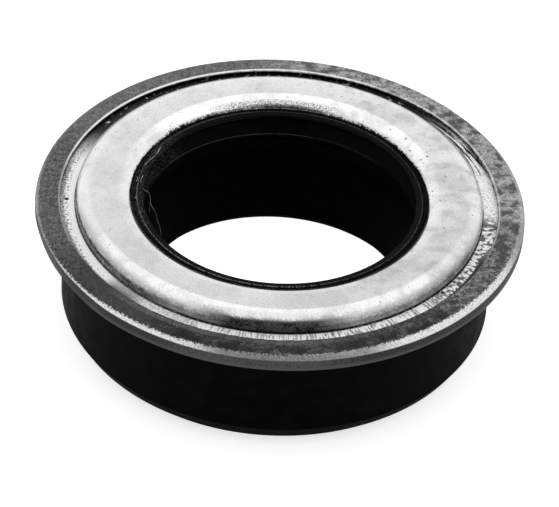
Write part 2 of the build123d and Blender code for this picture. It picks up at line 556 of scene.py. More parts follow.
@dataclass(frozen=True)
class DarkSteel:
    """The case's finish: mottled oxide that wears through along the rim, with painted shade at the fold and a
    painted reflection of the floor low on the rim's side.
    """

    oxide: float = 0.15  # grey of the oxidised flange
    bare: float = 0.34  # grey of the side where more of the steel shows
    pale: float = 0.17  # grey of the stripe beside the fold
    stain_and_shade: float = 0.04  # grey of the dark patches, and of the painted shade on the fold's corner at the front
    mottling: float = 0.018  # grey of the small dark patches
    rust: float = 0.016  # grey of the darkest ones, beside the rim
    wear_and_highlight: float = 0.86  # grey of the metal where the oxide has worn off
    side: tuple[float, float] = (0.04, 0.085)  # greys of the rim's side, from its dark grain to its light grain
    side_floor_reflection: float = 0.12  # grey of the rim's side near the underside, a painted reflection of the floor
    side_rubbed: float = 0.13  # grey of the rim's side where it is rubbed
    dirt_and_shade: float = 0.006  # grey of the dirt and the painted shade in the step under the fold
    flake: float = 0.6  # grey of the flakes in it
    ply: float = 0.5  # grey of the lines of metal that show in it
    tones: tuple[tuple[float, Stretch], ...] = (  # greys of single stretches of the flange
        (0.125, Stretch(186, 16, 20)),
        (0.058, Stretch(243, 24, 20)),
        (0.088, Stretch(292, 18, 16)),
        (0.22, Stretch(337, 12, 12)),
    )
    bare_side: Stretch = Stretch(32, 46, 26)  # where more of the steel shows
    smudged: Stretch = Stretch(228, 8, 10, 0.6)  # where the flange is smooth
    mottled: tuple[Stretch, ...] = (  # where the small dark patches are
        Stretch(292, 46, 14),
        Stretch(195, 30, 14, 0.4),
    )
    blotched: tuple[Stretch, ...] = (  # where the large dark patches are
        Stretch(32, 46, 26, 0.8),
        Stretch(300, 40, 20, 0.55),
    )
    worn_rim: tuple[Stretch, ...] = (  # where the rim is worn
        Stretch(232, 18, 14),
        Stretch(318, 14, 18),
        Stretch(265, 80, 30, 0.4),
        Stretch(20, 24, 16, 0.35),
    )
    bright_corner: tuple[Stretch, ...] = (  # where the fold's cut edge is bright
        Stretch(118, 42, 22),
        Stretch(10, 40, 20, 0.5),
        Stretch(180, 20, 15, 0.4),
    )

    def material(self, lines: CaseLines) -> Material:
        """Makes the material of the outer case."""
        c = Coat(
            "dark_steel",
            self.oxide,
            patches=Pattern(Grain.PATCH, 5.0, 0.68),
            grain=Pattern(Grain.FINE, 4.0, 0.7),
            dust=Pattern(Grain.DUST, 1.0),
        )
        c.lay(self.bare, c.arc(self.bare_side))
        for tone, stretch in self.tones:
            c.lay(tone, c.arc(stretch))
        self.mottle_flange(c, lines)
        self.wear_rim_with_reflection(c, lines.rim_inner, lines.rim_foot)
        self.age_and_shade_fold(c, lines.fold_edge, lines.fold_under)
        roughness = c.mix(c.step(c.grain, 0.3, 0.75), 0.36, 0.52)
        relief = c.math("ADD", c.grain, c.all_of(c.patches, 0.6))
        return c.finish(roughness, metal=1.0, gloss=0.5, relief=relief, depth=0.035 * MM)

    def mottle_flange(self, c: Coat, lines: CaseLines) -> None:
        """Speckles the flange, and lays its pale stripe, its dark patches and its rust."""
        smooth = c.arc(self.smudged)
        coarse = c.blend(c.grain, c.noise(Pattern(Grain.SPECK, 5.0, 0.8)))
        c.shade(c.mix(smooth, c.step(coarse, 0.36, 0.64), 0.5), 0.4, 1.65)
        c.shade(c.mix(smooth, c.step(c.dust, 0.3, 0.7), 0.5), 0.6, 1.4)
        c.lay(self.mottling, c.step(coarse, 0.53, 0.45), c.arc(*self.mottled), 0.75)
        stripe = c.all_of(
            c.ring(lines.fold_edge + 0.4 * MM, lines.fold_edge + MM, 0.3 * MM), c.arc(Stretch(258, 27, 8))
        )
        c.lay(self.pale, stripe, c.step(c.grain, 0.35, 0.6), 0.75)
        blotches = c.step(c.math("ADD", c.patches, c.all_of(c.grain, 0.25)), 0.58, 0.7)
        c.lay(self.stain_and_shade, blotches, c.any_of(c.arc(*self.blotched), 0.2))
        rust = c.step(c.blend(c.patches, coarse), 0.47, 0.55)
        beside_rim = c.ring(lines.rim_inner - 1.1 * MM, lines.rim_inner - 0.2 * MM, 0.9 * MM)
        c.lay(self.rust, rust, beside_rim, c.arc(Stretch(282, 34, 14)), 0.85)

    def wear_rim_with_reflection(self, c: Coat, inner: float, foot: float) -> None:
        """Wears the oxide off the rim's slope with a ragged inner border, and darkens the rim's side, which is
        lighter near its underside as a painted reflection of the floor.
        """
        reach = c.math("ADD", c.radius, c.ragged(c.grain, 1.1 * MM))
        border = c.step(reach, inner + 0.16 * MM, inner + 0.44 * MM)
        slope = c.all_of(border, c.above(foot - 0.1 * MM, 0.15 * MM))
        flecks = c.step(c.dust, 0.34, 0.52, 0.35, 1.0)
        c.lay(self.wear_and_highlight, slope, c.arc(*self.worn_rim), flecks)
        side = c.all_of(c.above(foot + 0.02 * MM, -0.14 * MM), c.beyond(inner + 0.4 * MM, 0.2 * MM))
        grained = c.mix(c.step(c.grain, 0.35, 0.7), *self.side)
        # lighter near the underside: a painted reflection of the floor
        c.lay(c.mix(c.above(foot - 0.9 * MM, -0.6 * MM), grained, self.side_floor_reflection), side)
        c.lay(self.side_rubbed, side, c.arc(Stretch(267, 13, 12)), c.step(c.grain, 0.36, 0.56), 0.8)

    def age_and_shade_fold(self, c: Coat, edge: float, under: float) -> None:
        """Brightens the cut edge's corner, darkens it at the front as painted shade, and fills the step under it
        with grime and painted shade.
        """
        corner = c.beyond(edge + 0.36 * MM, -0.2 * MM)
        upper = c.above(under + 0.62 * MM, 0.18 * MM)
        c.lay(self.wear_and_highlight, corner, upper, c.arc(*self.bright_corner), c.step(c.grain, 0.3, 0.5, 0.55, 1.0))
        # painted shade on the fold's corner at the front
        c.lay(self.stain_and_shade, corner, c.arc(Stretch(275, 60, 16)))
        inside = c.beyond(edge + 0.5 * MM, -0.2 * MM)
        below = c.all_of(inside, c.above(under + 0.66 * MM, -0.16 * MM))
        # dirt and painted shade in the step under the fold
        c.lay(self.dirt_and_shade, below)
        flakes = c.step(c.noise(Pattern(Grain.SPECK, 3.0, 0.7)), 0.62, 0.68)
        c.lay(self.flake, below, flakes, c.arc(Stretch(98, 48, 10)))
        ply = c.level(under + 0.24 * MM, under + 0.36 * MM, 0.08 * MM)
        c.lay(self.ply, inside, ply, c.arc(Stretch(36, 16, 8)), c.step(c.grain, 0.4, 0.52))


@dataclass(frozen=True)
class CoverLines:
    """The lines of the cover ring that its stains and painted shade follow."""

    bore: float  # radius of the turned inner edge
    crease: float  # radius where the crown meets the brim
    fold_edge: float  # radius of the fold that holds the brim
    brim: float  # height of the brim's top
    crown: float  # height of the crown's top


@dataclass(frozen=True)
class BrightSteel:
    """The cover ring's finish: satin steel with stains, pits and grime, and painted shade in its crease, beside
    the fold's edge, on the shoulders and on the band at the back.
    """

    satin: float = 0.97  # grey of the clean metal
    pit: float = 0.2  # grey of the pits
    # greys of the outer shoulder's dull stains and painted shade, from its dark patches to its light ones
    stain_and_shade: tuple[float, float] = (0.1, 0.5)
    stain_in_shade: tuple[float, float] = (0.01, 0.1)  # greys of the shoulder straight in front, darkest there as painted shade
    residue_and_shade: float = 0.13  # grey of the rubber left on the inner shoulder, and of the painted shade on it at the back
    dirt_and_shade: float = 0.01  # grey of the dirt, and of the painted shade in the crease, along the turned edge and on the band at the back
    # how far single stretches of the crown are darkened; the first, across the front, is painted shade
    crown_shades: tuple[tuple[float, tuple[Stretch, ...]], ...] = (
        (0.96, (Stretch(262, 55, 40),)),
        (0.92, (Stretch(305, 16, 26), Stretch(212, 8, 20, 0.6))),
    )
    stained_and_shaded: Stretch = Stretch(270, 66, 20, 0.75)  # where the outer shoulder is stained and darkened by painted shade, centred on the front
    cloudy: Stretch = Stretch(5, 62, 30)  # where the crown is cloudiest
    # bearing, radius and size of the two black spots on the brim
    black_spots: tuple[tuple[float, float, float], ...] = (
        (183.6, 30.5 * MM, 0.34 * MM),
        (322, 29.7 * MM, 0.3 * MM),
    )

    def material(self, lines: CoverLines) -> Material:
        """Makes the material of the cover ring."""
        c = Coat(
            "bright_steel",
            self.satin,
            patches=Pattern(Grain.PATCH, 4.0),
            grain=Pattern(Grain.FINE, 4.0, 0.7),
            dust=Pattern(Grain.DUST, 2.0),
        )
        for shade, stretches in self.crown_shades:
            c.shade(c.arc(*stretches), 1.0, shade)
        c.shade(c.step(c.dust, 0.3, 0.7), 0.84, 1.03)
        c.shade(c.step(c.grain, 0.35, 0.7), 1.0, 0.92)
        cloudy = c.any_of(c.arc(self.cloudy), 0.5)
        c.shade(c.all_of(c.step(c.noise(Pattern(Grain.CLOUD)), 0.4, 0.7), cloudy), 1.02, 0.8)
        c.shade(c.all_of(c.step(c.patches, 0.46, 0.66), cloudy), 1.0, 0.8)
        pitted = c.any_of(c.arc(Stretch(25, 45, 30)), 0.5)
        pits = c.all_of(c.step(c.noise(Pattern(Grain.SPECK, 1.5)), 0.66, 0.72), pitted)
        c.lay(self.pit, pits, c.step(c.grain, 0.42, 0.55))
        mottle = c.blend(c.grain, c.patches, 0.6)
        self.stain_and_shade_shoulder(c, mottle, lines)
        self.lay_residue_and_shade(c, mottle, lines.bore)
        band = c.beyond(lines.crease + 0.05 * MM, 0.23 * MM)
        marks = self.mark_band(c, band)
        self.soil_and_shade_band(c, band, lines)
        self.shade_crease(c, lines.crease, lines.brim)
        scuffed = c.all_of(
            c.beyond(lines.crease - 1.3 * MM, 0.5 * MM), c.above(lines.crown - 0.6 * MM, -0.5 * MM)
        )
        roughness = c.mix(c.any_of(band, scuffed), c.step(c.patches, 0.4, 0.7, 0.13, 0.2), 0.5)
        sunk = c.math("SUBTRACT", c.all_of(marks, 3.0), c.all_of(pits, 1.5))
        relief = c.math("ADD", c.all_of(c.grain, 0.5), sunk)
        return c.finish(roughness, metal=c.mix(band, 1.0, 0.15), gloss=0.3, relief=relief, depth=0.012 * MM)

    def stain_and_shade_shoulder(self, c: Coat, mottle: object, lines: CoverLines) -> None:
        """Lays the dull stains outside the crown, with painted shade that makes them darkest at the front, and
        painted shade on the upper shoulder straight in front.
        """
        outside = c.beyond(lines.crease - 1.9 * MM, 0.5 * MM)
        fallen = c.math("ADD", c.math("SUBTRACT", lines.crown, c.height), c.ragged(mottle, 2.2 * MM))
        lower = c.all_of(outside, c.step(fallen, 0.2 * MM, 0.9 * MM))
        patchy = c.step(mottle, 0.42, 0.58)
        # stains, with painted shade centred on the front
        c.lay(c.mix(patchy, *self.stain_and_shade), lower, c.arc(self.stained_and_shaded))
        # painted shade: the shoulder darkest straight in front
        c.lay(c.mix(patchy, *self.stain_in_shade), lower, c.arc(Stretch(270, 9, 15)))
        upper = c.above(lines.crown - 0.9 * MM, 0.6 * MM)
        # painted shade on the upper shoulder straight in front
        c.lay(0.66, outside, c.arc(Stretch(270, 8, 12)), upper, 0.7)

    def lay_residue_and_shade(self, c: Coat, mottle: object, bore: float) -> None:
        """Lays grime along the turned edge and the rubber that was left on the inner shoulder, with a hump at the
        back; at the back both are partly painted shade.
        """
        reach = c.math("ADD", c.math("SUBTRACT", c.radius, bore), c.ragged(mottle, 1.7 * MM))
        # dirt along the turned edge, at full strength at the back as painted shade
        c.lay(self.dirt_and_shade, c.step(reach, 0.36 * MM, 0.06 * MM), c.any_of(c.arc(Stretch(90, 95, 25)), 0.3))
        # the hump: rubber residue and painted shade at the back, where the inner shoulder faces the viewer
        hump = c.all_of(c.step(reach, 1.3 * MM, 0.8 * MM), c.arc(Stretch(93, 15, 16)))
        c.lay(self.residue_and_shade, hump, c.step(c.dust, 0.58, 0.42))

    def mark_band(self, c: Coat, band: object) -> NodeSocket:
        """Lays the brim's tone, and the marks that the press left in it.

        Returns:
            The socket with the marks' relief.
        """
        c.lay(1.0, band)
        cells = c.cells(along=0.55 * MM, across=0.75 * MM)
        ticks = c.drawn_noise(along=0.32 * MM, across=1.7 * MM, detail=3.0)
        nets = c.step(c.math("ADD", cells, c.all_of(c.grain, 0.4)), 0.6, 0.84)
        c.lay(0.12, band, c.arc(Stretch(338, 16, 8)), nets)
        c.lay(0.42, band, c.arc(Stretch(268, 18, 12)), c.step(ticks, 0.45, 0.56), c.step(c.dust, 0.35, 0.5))
        c.lay(0.25, band, c.arc(Stretch(302, 16, 10)), c.step(ticks, 0.48, 0.58), c.step(c.grain, 0.36, 0.5))
        c.lay(0.5, band, c.arc(Stretch(237, 8, 7)), c.step(c.grain, 0.4, 0.6))
        streaks = c.step(c.drawn_noise(along=7 * MM, across=0.3 * MM), 0.47, 0.53)
        c.lay(self.dirt_and_shade, band, streaks, c.arc(Stretch(34, 14, 4)))
        return c.all_of(c.step(cells, 0.62, 0.4), band)

    def soil_and_shade_band(self, c: Coat, band: object, lines: CoverLines) -> None:
        """Lays the speckle beside the fold, painted shadow along the fold's edge, painted shade with grime that
        blackens the band at the back with flakes in it, the two spots and a smudge.
        """
        edge = lines.fold_edge
        speckle = c.step(c.blend(c.noise(Pattern(Grain.FINE, 1.5)), c.dust, 0.75), 0.53, 0.6)
        left = c.all_of(c.arc(Stretch(184, 26, 14)), c.ring(edge - 0.9 * MM, edge, 0.7 * MM))
        c.lay(0.08, band, speckle, c.any_of(left, c.arc(Stretch(14, 22, 14, 0.6))))
        # painted shadow of the fold's edge on the band
        fold_shadow = c.all_of(c.ring(edge - 0.45 * MM, edge, 0.25 * MM), c.arc(Stretch(196, 24, 10)))
        c.lay(0.16, fold_shadow, c.step(c.dust, 0.6, 0.45))
        # more painted shadow of the fold's edge, further round to the front
        fold_shadow = c.all_of(c.ring(edge - 0.6 * MM, edge, 0.3 * MM), c.arc(Stretch(222, 18, 14)))
        c.lay(0.12, band, fold_shadow, c.step(c.dust, 0.55, 0.62))
        # painted shade with dirt: the band at the back is blackened
        c.lay(self.dirt_and_shade, band, c.step(c.blend(c.grain, c.dust), 0.68, 0.6), c.arc(Stretch(100, 50, 18)))
        flakes = c.step(c.noise(Pattern(Grain.SPECK, 2.0)), 0.6, 0.68)
        c.lay(0.8, band, flakes, c.arc(Stretch(132, 14, 8), Stretch(90, 50, 10, 0.5)))
        c.lay(self.dirt_and_shade, c.any_of(*(c.spot(*spot) for spot in self.black_spots)))
        outward = c.math("ADD", c.radius, c.all_of(c.grain, MM))
        faded = c.step(outward, lines.crease + 0.9 * MM, lines.crease + 2.2 * MM, 0.5, 0.95)
        c.lay(0.12, band, c.arc(Stretch(226.5, 0.5, 7)), faded)

    def shade_crease(self, c: Coat, crease: float, brim: float) -> None:
        """Paints shade along the foot of the crown's wall in the crease, and draws the spots on the wall and a
        dark line along its top.
        """
        # painted shade in the crease
        foot = c.all_of(
            c.ring(crease - 0.05 * MM, crease + 0.14 * MM, 0.12 * MM), c.level(0, brim + 0.2 * MM, 0.2 * MM)
        )
        c.lay(self.dirt_and_shade, foot, c.step(c.grain, 0.3, 0.48))
        wall = c.all_of(
            c.ring(crease - 0.3 * MM, crease + 0.1 * MM, 0.1 * MM), c.level(brim, brim + 1.3 * MM, 0.1 * MM)
        )
        spots = c.step(c.blend(c.grain, c.noise(Pattern(Grain.SPECK)), 0.6), 0.46, 0.54)
        c.lay(0.12, wall, c.arc(Stretch(204, 26, 16)), spots)
        top = c.all_of(
            c.ring(crease - 0.26 * MM, crease, 0.06 * MM), c.level(brim + MM, brim + 1.22 * MM, 0.09 * MM)
        )
        c.lay(self.dirt_and_shade * 2, top, c.arc(Stretch(196, 16, 6)), c.step(c.grain, 0.36, 0.5), 0.8)


@dataclass(frozen=True)
class LipLines:
    """The lines of the rubber's bore that its dust and painted highlights follow."""

    crest: float  # radius of the dust lip's crest
    crest_top: float  # height of the crest
    lip_foot: float  # height of the dust lip's lower edge
    rib_top: float  # height of the rib's upper edge


@dataclass(frozen=True)
class BlackRubber:
    """The seal body's finish: black rubber with a faint sheen, a little dust, and painted highlights along the
    crest and on edges in the bore.
    """

    black: float = 0.0012  # grey of the clean rubber
    lip: float = 0.0035  # grey of the lip's dusty top
    dust: float = 0.16  # grey of the specks of dust, and of the painted highlight along the crest
    film: float = 0.02  # grey of the film of dust on the left of the bore
    wear_and_highlight: float = 0.06  # grey of the painted highlights on edges in the bore
    scuff: float = 0.012  # grey of the scuffs on the right of the bore
    speck: float = 0.03  # grey of the few specks all over
    bore: float = 24 * MM  # radius inside which a surface belongs to the bore
    dusty: Stretch = Stretch(172, 24, 14)  # where the bore is dusty
    dusty_heights: tuple[float, float] = (12 * MM, 18 * MM)  # heights between which its dust fades in
    # where the dust lip's lower edge has a painted highlight
    lip_edge_highlight: tuple[Stretch, ...] = (Stretch(128, 18, 14), Stretch(62, 14, 12, 0.5))
    # where the rib's upper edge has a painted highlight
    rib_edge_highlight: tuple[Stretch, ...] = (Stretch(112, 26, 16), Stretch(60, 10, 10, 0.4))

    def material(self, lines: LipLines) -> Material:
        """Makes the material of the seal body."""
        c = Coat(
            "black_rubber",
            self.black,
            patches=Pattern(Grain.PATCH, 4.0),
            grain=Pattern(Grain.FINE, 3.0),
            dust=Pattern(Grain.DUST, 1.0),
        )
        c.shade(c.step(c.patches, 0.4, 0.75), 0.8, 2.4)
        inside = c.beyond(self.bore, -MM)
        on_top = c.all_of(c.above(lines.crest_top - 0.3 * MM, 0.18 * MM), inside)
        c.lay(self.lip, on_top, c.step(c.grain, 0.3, 0.6))
        # a speckled painted highlight along the crest
        line = c.all_of(c.ring(lines.crest - 0.06 * MM, lines.crest + 0.04 * MM, 0.05 * MM), on_top)
        c.lay(self.dust, line, c.step(c.grain, 0.4, 0.55), c.any_of(c.arc(Stretch(225, 55, 20)), 0.4))
        left = c.all_of(c.arc(self.dusty), inside, c.step(c.height, *self.dusty_heights))
        c.lay(self.dust, c.step(c.dust, 0.61, 0.7), left)
        # painted highlights on the dust lip's lower edge and the rib's upper edge
        over = c.above(lines.lip_foot - 0.14 * MM, 0.08 * MM)
        under = c.above(lines.lip_foot + 0.08 * MM, -0.08 * MM)
        c.lay(self.wear_and_highlight, over, under, inside, c.arc(*self.lip_edge_highlight))
        rib = c.level(lines.rib_top, lines.rib_top + 0.03 * MM, 0.06 * MM)
        c.lay(self.wear_and_highlight, rib, inside, c.arc(*self.rib_edge_highlight), c.step(c.grain, 0.3, 0.5))
        c.lay(self.film, c.step(c.patches, 0.5, 0.66), left, c.step(c.grain, 0.45, 0.6))
        c.lay(self.speck, c.step(c.noise(Pattern(Grain.SPECK, 1.0)), 0.83, 0.87), 0.7)
        right = c.all_of(c.arc(Stretch(350, 26, 16)), inside)
        c.lay(self.scuff, c.step(c.patches, 0.55, 0.7), right, c.step(c.grain, 0.42, 0.62))
        roughness = c.step(c.patches, 0.35, 0.7, 0.36, 0.5)
        relief = c.math("ADD", c.grain, c.all_of(c.drawn_noise(24 * MM, 0.5 * MM), 0.7))
        return c.finish(roughness, metal=0.0, gloss=0.026, relief=relief, depth=0.012 * MM)


@dataclass(frozen=True)
class SpringWire:
    """The garter spring's finish: drawn steel wire, oiled in places."""

    wire: float = 0.6  # grey of the wire
    oiled: float = 0.3  # grey of the wire where it is oiled

    def material(self) -> Material:
        """Makes the material of the garter spring."""
        c = Coat("spring_steel", self.wire)
        c.lay(self.oiled, c.step(c.patches, 0.4, 0.65))
        roughness = c.step(c.dust, 0.35, 0.7, 0.25, 0.4)
        return c.finish(roughness, metal=1.0, gloss=0.5, relief=c.dust, depth=0.004 * MM)


@dataclass(frozen=True)
class PaleLint:
    """The finish of the pale fibres that stick to the bore."""

    thread: float = 0.5  # grey of a clean fibre

    def material(self) -> Material:
        """Makes the material of the fibres."""
        c = Coat("lint", self.thread, grain=Pattern(Grain.SPECK))
        c.shade(c.step(c.grain, 0.35, 0.65), 0.35, 1.4)
        return c.finish(0.8, metal=0.0, gloss=0.2, relief=c.grain, depth=0.01 * MM)


def seat(piece: Object, node: str, material: Material) -> None:
    """Gives a finished piece its material, and puts it in the place of its CAD node.

    Args:
        piece: The finished mesh object.
        node: The CAD node that it stands for, or nothing where it is an addition.
        material: The finish of the piece.
    """
    piece.vertex_groups.clear()
    piece.data.materials.clear()
    piece.data.materials.append(material)
    take_up(piece)
    bpy.ops.object.shade_smooth_by_angle(angle=SMOOTH_ANGLE)
    if node:
        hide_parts(node)
    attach(piece, "root")
    LOG.info("%s: %d faces, for %s", piece.name, len(piece.data.polygons), node or "no node of its own")


@dataclass(frozen=True)
class Bend:
    """A soft bend of the case's rim."""

    name: str
    stretch: Stretch
    move: tuple[float, float, float]  # how far the rim moves, in millimetres


@dataclass
class OuterCase:
    """The pressed case: a wall inside the rubber, a flange, and the fold that holds the cover's brim."""

    sizes: SealSizes
    finish: DarkSteel
    sheet: float = 0.9 * MM
    sleeve_wall: float = 0.95 * MM
    fold_length: float = 3.58 * MM
    fold_corner: float = 0.15 * MM
    rim_edge: float = 0.3 * MM
    rim_slope: float = 0.75 * MM
    rim_slope_bend: float = 0.8 * MM
    cut_edge: float = 0.3 * MM
    bends: tuple[Bend, ...] = (  # the bends that put the rim out of round, and the dent where it took a knock
        Bend("stretched", Stretch(315, 62, 34), (0.27, -0.13, 0)),
        Bend("dented", Stretch(208, 9, 15), (0.26, 0.14, 0)),
    )
    bend_width: float = 2.4 * MM  # from the rim to where its bends begin
    bend_ramp: float = 1.6 * MM  # from there to where they reach their full size
    # bearings where the fold's tongue begins, where it is full, and where it ends
    tongue: tuple[float, float, float] = (312, 340, 342)
    # how far it reaches past the fold's edge, in millimetres
    tongue_move: tuple[float, float, float] = (-0.42, 0.19, 0)
    ragged_grain: float = 0.9 * MM  # size of the unevenness along the fold's edge
    ragged_depth: float = 0.22 * MM  # how far the unevenness moves the edge in all
    steps: int = 720

    @property
    def fold_edge(self) -> float:
        """Radius of the fold's free edge."""
        return self.sizes.flange_radius - self.fold_length

    @property
    def fold_under(self) -> float:
        """Height of the fold's underside."""
        return self.sizes.fold_top - self.sheet

    def section(self) -> list[Corner]:
        """The corners of the case's section."""
        size = self.sizes
        wall_outside = size.sleeve_radius - self.sleeve_wall
        wall_inside = wall_outside - self.sheet
        rim_inside = size.flange_radius - self.sheet
        return [
            Corner(wall_inside, size.wall_foot, self.cut_edge),
            Corner(wall_outside, size.wall_foot, self.cut_edge),
            Corner(wall_outside, size.seat_height, self.sleeve_wall, 6),
            Corner(size.flange_radius, size.seat_height, self.rim_edge, 5),
            Corner(size.flange_radius, size.fold_top - self.rim_slope, self.rim_edge, 4),
            Corner(size.flange_radius - self.rim_slope, size.fold_top, self.rim_slope_bend, 6),
            Corner(self.fold_edge, size.fold_top, self.cut_edge, 5),
            Corner(self.fold_edge, self.fold_under, self.cut_edge, 3),
            Corner(rim_inside, self.fold_under, self.fold_corner, 3),
            Corner(rim_inside, size.brim_underside, self.fold_corner, 3),
            Corner(wall_inside, size.brim_underside, self.sleeve_wall + self.sheet, 8),
        ]

    def build(self) -> None:
        """Turns the case, ages it, and puts it in its place."""
        piece = TurnedSection("case_pressing", self.section()).turn(self.steps)
        self.bend_rim(piece)
        self.roughen_fold(piece)
        lines = CaseLines(
            rim_inner=self.sizes.flange_radius - self.rim_slope,
            rim_foot=self.sizes.fold_top - self.rim_slope,
            fold_edge=self.fold_edge,
            fold_under=self.fold_under,
        )
        seat(piece, "outer_case", self.finish.material(lines))

    def bend_rim(self, piece: Object) -> None:
        """Draws the rim a little out of round, and dents it where it took a knock."""
        start = self.sizes.flange_radius - self.bend_width
        full = start + self.bend_ramp
        for bend in self.bends:
            shift_softly(
                piece,
                bend.name,
                lambda place: ramp(place.xy.length, start, full) * arc_weight(place, bend.stretch),
                Vector(bend.move) * MM,
            )

    def roughen_fold(self, piece: Object) -> None:
        """Makes the fold's free edge uneven, with a tongue that ends in a sharp step."""
        begin, full, end = self.tongue

        def at_edge(place: Vector) -> float:
            """The fold's free edge."""
            near = self.fold_edge - MM < place.xy.length < self.fold_edge + 0.5 * MM
            return float(near and place.z > self.fold_under - 0.01 * MM)

        def on_tongue(place: Vector) -> float:
            """The stretch that reaches further in."""
            bearing = math.degrees(math.atan2(place.y, place.x)) % 360
            return at_edge(place) * ramp(bearing, begin, full) * float(bearing < end)

        shift_softly(piece, "tongue", on_tongue, Vector(self.tongue_move) * MM)
        edges = piece.vertex_groups.new(name="edges")
        edges.add([vertex.index for vertex in piece.data.vertices if at_edge(vertex.co)], 1.0, "REPLACE")
        ragged = bpy.data.textures.new("ragged_edge", "CLOUDS")
        ragged.noise_scale = self.ragged_grain
        ragged.noise_depth = 4
        for axis in "XY":
            shift = piece.modifiers.new(f"ragged_{axis}", "DISPLACE")
            shift.texture = ragged
            shift.texture_coords = "LOCAL"
            shift.direction = axis
            shift.strength = self.ragged_depth
            shift.vertex_group = edges.name
            apply_modifier(piece, shift)


@dataclass
class CoverRing:
    """The bright cover ring: a brim, an arched crown, and an inner edge turned down into the rubber."""

    sizes: SealSizes
    finish: BrightSteel
    fold_edge: float
    sheet: float = 0.8 * MM
    crease: float = 29.2 * MM
    crease_bend: float = 0.3 * MM
    bore: float = 21.2 * MM
    shoulder_width: float = 1.15 * MM
    shoulder_slope: float = math.radians(48)
    shoulder_foot: float = 0.9 * MM
    crown_bend: float = 2.9 * MM
    edge_depth: float = 2.15 * MM
    # from the crease to the first of the rings that the brim's visible band is cut into
    band_start: float = 0.45 * MM
    band_end: float = 0.05 * MM  # from the last of them to the fold's edge
    band_rings: int = 6
    pressed: Stretch = Stretch(330, 36, 14)  # where the cells are pressed deepest
    pressed_least: float = 0.25  # how deep they are elsewhere, as a share of that
    cell: float = 0.75 * MM  # size of a cell
    cell_level: float = 0.6  # height in a cell that stays level with the brim, as a share
    cell_depth: float = 0.09 * MM  # whole height of a cell
    steps: int = 540

    def section(self) -> list[Corner]:
        """The corners of the sheet's upper side, from the brim's edge to the turned edge."""
        size = self.sizes
        brim_top = size.brim_underside + self.sheet
        shoulder = size.overall_height - self.shoulder_width * math.tan(self.shoulder_slope)
        start = self.crease + self.band_start
        width = self.fold_edge - self.band_end - start
        rings = [start + width * ring / self.band_rings for ring in range(self.band_rings, -1, -1)]
        return [
            Corner(size.brim_edge, brim_top),
            *(Corner(radius, brim_top) for radius in rings),
            Corner(self.crease, brim_top, self.crease_bend, 4),
            Corner(self.crease, shoulder, self.shoulder_foot, 6),
            Corner(self.crease - self.shoulder_width, size.overall_height, self.crown_bend, 14),
            Corner(self.bore + self.shoulder_width, size.overall_height, self.crown_bend, 14),
            Corner(self.bore, shoulder, self.shoulder_foot, 6),
            Corner(self.bore, size.overall_height - self.edge_depth),
        ]

    def build(self) -> None:
        """Turns the sheet's upper side, gives it its thickness, and puts it in its place."""
        piece = TurnedSection("cover_pressing", self.section(), closed=False).turn(self.steps)
        self.face_upwards(piece)
        wall = piece.modifiers.new("sheet", "SOLIDIFY")
        wall.thickness = self.sheet
        wall.offset = -1.0
        wall.use_even_offset = True
        apply_modifier(piece, wall)
        self.hammer_band(piece)
        lines = CoverLines(
            bore=self.bore,
            crease=self.crease,
            fold_edge=self.fold_edge,
            brim=self.sizes.brim_underside + self.sheet,
            crown=self.sizes.overall_height,
        )
        seat(piece, "cover_ring", self.finish.material(lines))

    def face_upwards(self, piece: Object) -> None:
        """Turns the open sheet's normals up, if they point into the seal."""
        highest = max(piece.data.polygons, key=lambda face: face.center.z)
        if highest.normal.z < 0:
            take_up(piece)
            with editing():
                bpy.ops.mesh.select_all(action="SELECT")
                bpy.ops.mesh.flip_normals()

    def hammer_band(self, piece: Object) -> None:
        """Presses shallow cells into the brim beside the fold, mostly on its right side."""
        group = piece.vertex_groups.new(name="band")
        top = self.sizes.brim_underside + self.sheet
        for vertex in piece.data.vertices:
            inside = self.crease + 0.5 * MM < vertex.co.xy.length < self.fold_edge - 0.1 * MM
            if inside and abs(vertex.co.z - top) < 0.01 * MM:
                weight = max(arc_weight(vertex.co, self.pressed), self.pressed_least)
                group.add([vertex.index], weight, "REPLACE")
        cells = bpy.data.textures.new("press_cells", "VORONOI")
        cells.noise_scale = self.cell
        cells.distance_metric = "DISTANCE"
        press = piece.modifiers.new("press", "DISPLACE")
        press.texture = cells
        press.texture_coords = "LOCAL"
        press.direction = "Z"
        press.mid_level = self.cell_level
        press.strength = self.cell_depth
        press.vertex_group = group.name
        apply_modifier(piece, press)


